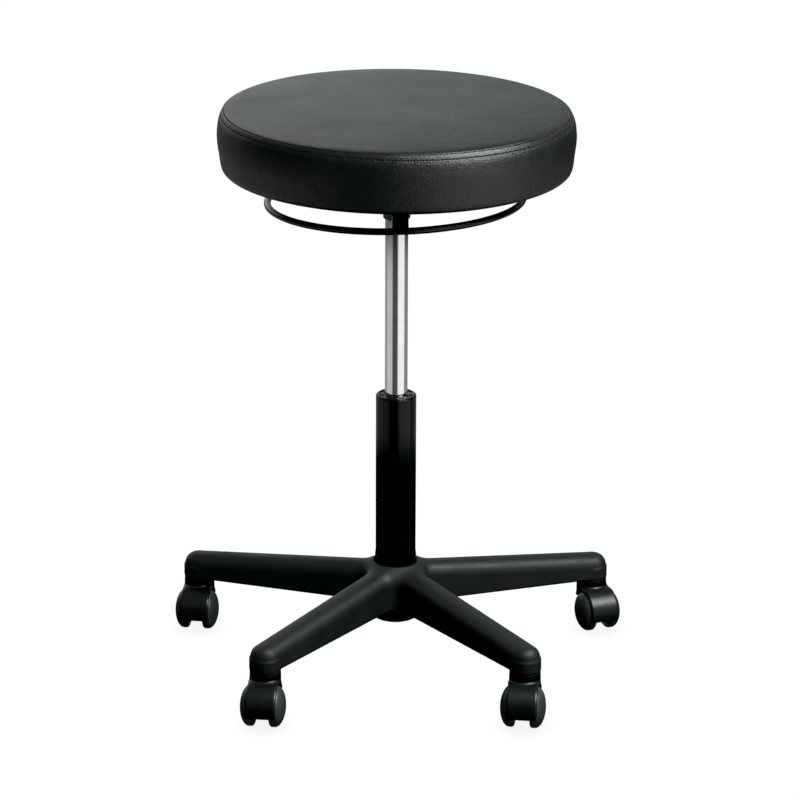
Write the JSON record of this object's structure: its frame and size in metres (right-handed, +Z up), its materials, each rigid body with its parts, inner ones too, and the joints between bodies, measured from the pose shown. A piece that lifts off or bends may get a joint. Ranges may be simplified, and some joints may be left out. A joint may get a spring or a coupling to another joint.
{
  "type": "rolling stool",
  "caption": "Round padded stool on a gas column with a ring release handle, over a star base with twin-wheel casters.",
  "frame": {"origin": "on the floor, in the middle of the stool's footprint with its casters as they stand; the column's axis is at x = 0, y = -0.0095 m", "axes": "+Z up along the column; one base arm points along +Y; X to the right seen from the front, where -Y points at the viewer"},
  "size_m": [0.5685, 0.548, 0.705],
  "materials": {
    "base_nylon": "satin moulded nylon",
    "caster_nylon": "satin moulded nylon",
    "caster_wheel": "matte moulded nylon",
    "caster_washer": "smooth acetal",
    "tube_paint": "gloss black paint",
    "bush_plastic": "smooth acetal",
    "chrome": "polished",
    "zinc_steel": "zinc plated",
    "rubber": "matte",
    "mechanism_paint": "satin black powder coat",
    "ring_paint": "semi-gloss black powder coat",
    "plywood": "raw",
    "foam": "open-cell foam",
    "seat_vinyl": "grained vinyl, satin",
    "dust_cloth": "woven, matte"
  },
  "bodies": {
    "base": {"base": "base_nylon", "outer_tube": "tube_paint", "guide_bush": "bush_plastic", "bearing_lower_race": "zinc_steel", "caster_stem_right": "zinc_steel", "caster_stem_back": "zinc_steel", "caster_stem_left": "zinc_steel", "caster_stem_front_left": "zinc_steel", "caster_stem_front_right": "zinc_steel", "caster_washer_right": "caster_washer", "caster_washer_back": "caster_washer", "caster_washer_left": "caster_washer", "caster_washer_front_left": "caster_washer", "caster_washer_front_right": "caster_washer"},
    "bearing_cage": {"bearing_ball_cage": "zinc_steel"},
    "rod": {"piston_rod": "chrome", "piston": "zinc_steel", "bearing_upper_race": "zinc_steel", "buffer": "rubber", "retaining_clip": "zinc_steel"},
    "seat": {"gas_cylinder": "chrome", "rod_seal": "rubber", "taper_socket": "mechanism_paint", "mounting_plate": "mechanism_paint", "dust_cover": "dust_cloth", "seat_board": "plywood", "seat_foam": "foam", "seat_cover_top": "seat_vinyl", "seat_cover_band": "seat_vinyl", "seat_bolt_1": "zinc_steel", "seat_bolt_2": "zinc_steel", "seat_bolt_3": "zinc_steel", "seat_bolt_4": "zinc_steel", "tee_nut_1": "zinc_steel", "tee_nut_2": "zinc_steel", "tee_nut_3": "zinc_steel", "tee_nut_4": "zinc_steel"},
    "release_ring": {"ring_handle": "ring_paint", "handle_crossbar": "ring_paint"},
    "release_pin": {"release_pin": "zinc_steel"},
    "caster_right": {"caster_hood_right": "caster_nylon", "caster_axle_right": "zinc_steel"},
    "wheel_right_a": {"wheel_right_a": "caster_wheel"},
    "wheel_right_b": {"wheel_right_b": "caster_wheel"},
    "caster_back": {"caster_hood_back": "caster_nylon", "caster_axle_back": "zinc_steel"},
    "wheel_back_a": {"wheel_back_a": "caster_wheel"},
    "wheel_back_b": {"wheel_back_b": "caster_wheel"},
    "caster_left": {"caster_hood_left": "caster_nylon", "caster_axle_left": "zinc_steel"},
    "wheel_left_a": {"wheel_left_a": "caster_wheel"},
    "wheel_left_b": {"wheel_left_b": "caster_wheel"},
    "caster_front_left": {"caster_hood_front_left": "caster_nylon", "caster_axle_front_left": "zinc_steel"},
    "wheel_front_left_a": {"wheel_front_left_a": "caster_wheel"},
    "wheel_front_left_b": {"wheel_front_left_b": "caster_wheel"},
    "caster_front_right": {"caster_hood_front_right": "caster_nylon", "caster_axle_front_right": "zinc_steel"},
    "wheel_front_right_a": {"wheel_front_right_a": "caster_wheel"},
    "wheel_front_right_b": {"wheel_front_right_b": "caster_wheel"}
  },
  "joints": [
    {"name": "seat_swivel", "type": "hinge", "parent": "base", "child": "rod", "pos_m": [0, -0.0095, 0.055], "axis": [0, 0, 1], "continuous": true},
    {"name": "bearing_cage_turn", "type": "hinge", "parent": "base", "child": "bearing_cage", "pos_m": [0, -0.0095, 0.055], "axis": [0, 0, 1], "continuous": true},
    {"name": "gas_lift", "type": "slide", "parent": "rod", "child": "seat", "axis": [0, 0, 1], "range_m": [-0.2, 0]},
    {"name": "ring_tilt", "type": "hinge", "parent": "seat", "child": "release_ring", "pos_m": [0, -0.04, 0.6151], "axis": [-1, 0, 0], "range_deg": [0, 4.5], "stiffness_Nm_per_rad": 30, "springref_deg": -3.44},
    {"name": "pin_press", "type": "slide", "parent": "seat", "child": "release_pin", "axis": [0, 0, -1], "range_m": [0, 0.003]},
    {"name": "swivel_right", "type": "hinge", "parent": "base", "child": "caster_right", "pos_m": [0.25155, 0.07223, 0.06], "axis": [0, 0, 1], "continuous": true},
    {"name": "roll_right_a", "type": "hinge", "parent": "caster_right", "child": "wheel_right_a", "pos_m": [0.25856, 0.0535, 0.025], "axis": [0.9367, 0.3502, 0], "continuous": true},
    {"name": "roll_right_b", "type": "hinge", "parent": "caster_right", "child": "wheel_right_b", "pos_m": [0.25856, 0.0535, 0.025], "axis": [0.9367, 0.3502, 0], "continuous": true},
    {"name": "swivel_back", "type": "hinge", "parent": "base", "child": "caster_back", "pos_m": [0, 0.255, 0.06], "axis": [0, 0, 1], "continuous": true},
    {"name": "roll_back_a", "type": "hinge", "parent": "caster_back", "child": "wheel_back_a", "pos_m": [0, 0.235, 0.025], "axis": [1, 0, 0], "continuous": true},
    {"name": "roll_back_b", "type": "hinge", "parent": "caster_back", "child": "wheel_back_b", "pos_m": [0, 0.235, 0.025], "axis": [1, 0, 0], "continuous": true},
    {"name": "swivel_left", "type": "hinge", "parent": "base", "child": "caster_left", "pos_m": [-0.25155, 0.07223, 0.06], "axis": [0, 0, 1], "continuous": true},
    {"name": "roll_left_a", "type": "hinge", "parent": "caster_left", "child": "wheel_left_a", "pos_m": [-0.25385, 0.05237, 0.025], "axis": [0.9934, -0.1149, 0], "continuous": true},
    {"name": "roll_left_b", "type": "hinge", "parent": "caster_left", "child": "wheel_left_b", "pos_m": [-0.25385, 0.05237, 0.025], "axis": [0.9934, -0.1149, 0], "continuous": true},
    {"name": "swivel_front_left", "type": "hinge", "parent": "base", "child": "caster_front_left", "pos_m": [-0.15547, -0.22348, 0.06], "axis": [0, 0, 1], "continuous": true},
    {"name": "roll_front_left_a", "type": "hinge", "parent": "caster_front_left", "child": "wheel_front_left_a", "pos_m": [-0.15777, -0.24335, 0.025], "axis": [0.9934, -0.1149, 0], "continuous": true},
    {"name": "roll_front_left_b", "type": "hinge", "parent": "caster_front_left", "child": "wheel_front_left_b", "pos_m": [-0.15777, -0.24335, 0.025], "axis": [0.9934, -0.1149, 0], "continuous": true},
    {"name": "swivel_front_right", "type": "hinge", "parent": "base", "child": "caster_front_right", "pos_m": [0.15547, -0.22348, 0.06], "axis": [0, 0, 1], "continuous": true},
    {"name": "roll_front_right_a", "type": "hinge", "parent": "caster_front_right", "child": "wheel_front_right_a", "pos_m": [0.15296, -0.24333, 0.025], "axis": [0.9921, -0.1253, 0], "continuous": true},
    {"name": "roll_front_right_b", "type": "hinge", "parent": "caster_front_right", "child": "wheel_front_right_b", "pos_m": [0.15296, -0.24333, 0.025], "axis": [0.9921, -0.1253, 0], "continuous": true}
  ],
  "couplings": [
    {"joint": "pin_press", "follows": "ring_tilt", "m_per_rad": 0.0325},
    {"joint": "bearing_cage_turn", "follows": "seat_swivel", "ratio": 0.5}
  ]
}
